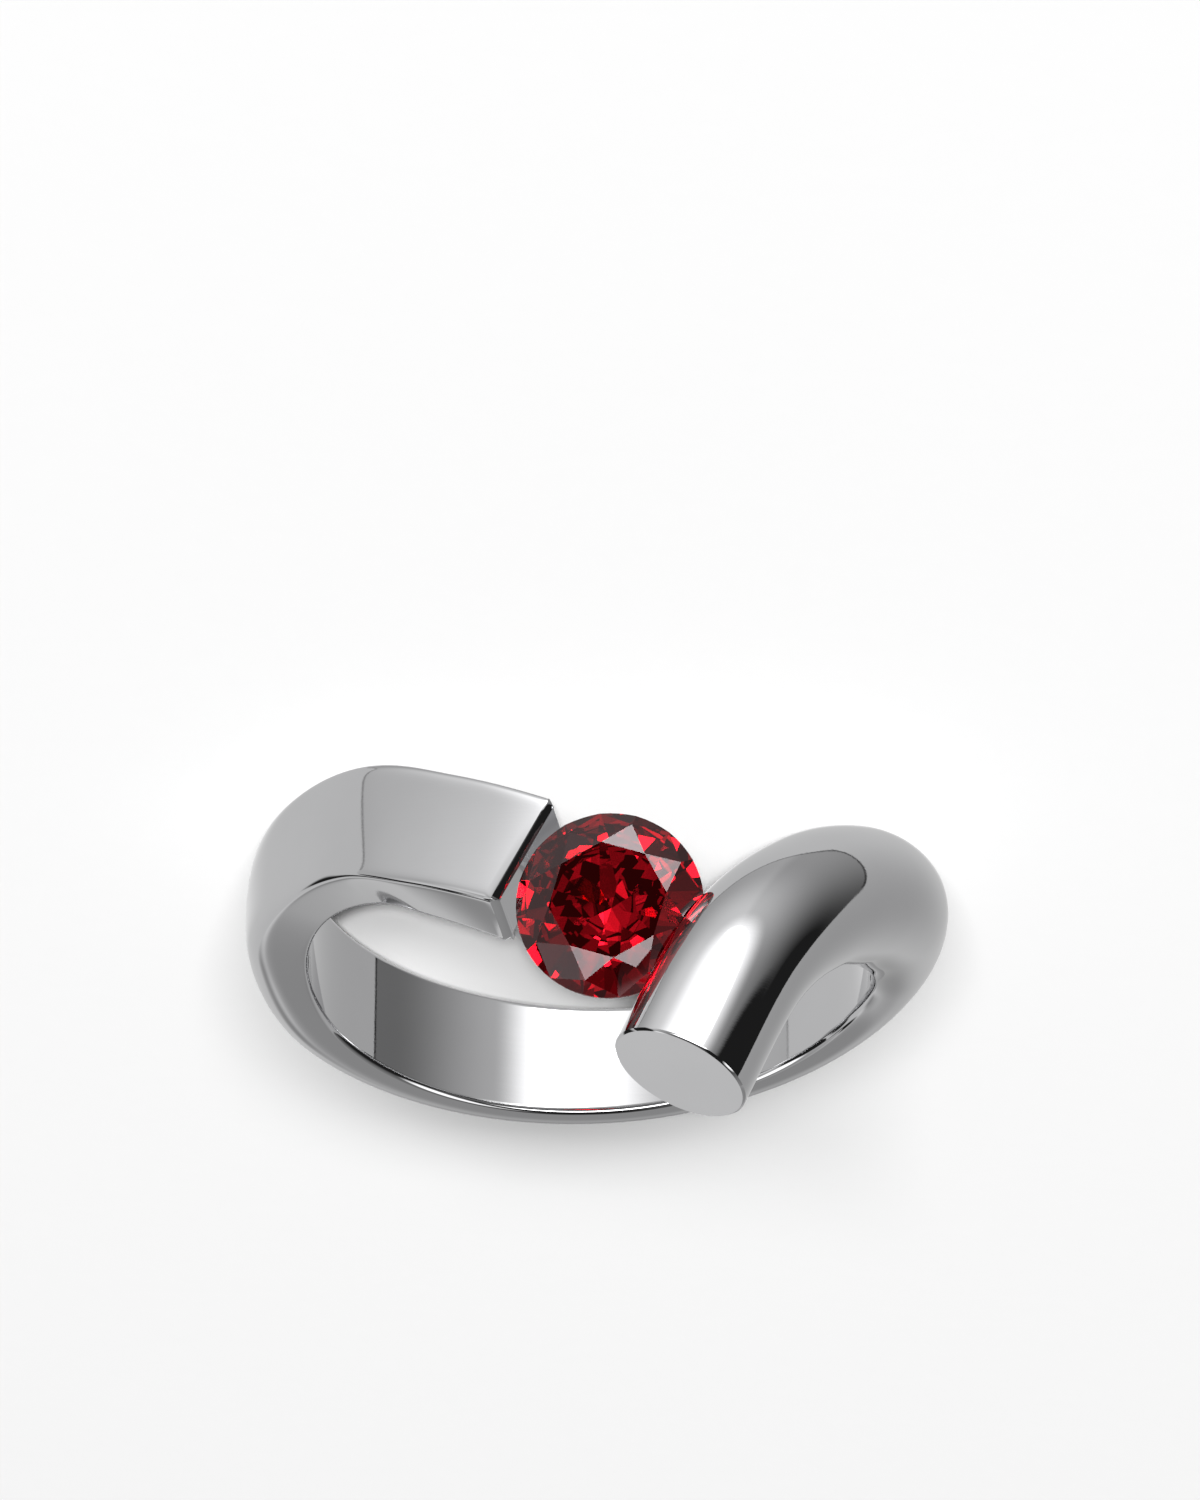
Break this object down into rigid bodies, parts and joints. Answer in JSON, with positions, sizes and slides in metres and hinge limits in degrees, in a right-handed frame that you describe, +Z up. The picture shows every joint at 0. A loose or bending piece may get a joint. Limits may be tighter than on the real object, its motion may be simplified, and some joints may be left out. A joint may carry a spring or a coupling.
{
  "type": "tension set ring",
  "caption": "Tension set ring: a flat arm and a thick round bar, both part of one polished band, grip a round brilliant red stone between them.",
  "frame": {"origin": "centre of the underside of the bounding box, on the surface that the ring lies on", "axes": "+Z up from the surface, within about 13 degrees of the finger's axis; the stone and the free ends of the band are on the -Y side and the back of the shank is on the +Y side; the round bar is on the -X side and the flat arm on the +X side"},
  "size_m": [0.0218, 0.025, 0.0116],
  "materials": {
    "metal": "polished white precious metal",
    "gem": "cut and polished transparent red gemstone"
  },
  "bodies": {
    "root": {"band": "metal", "stone": "gem"}
  },
  "joints": []
}
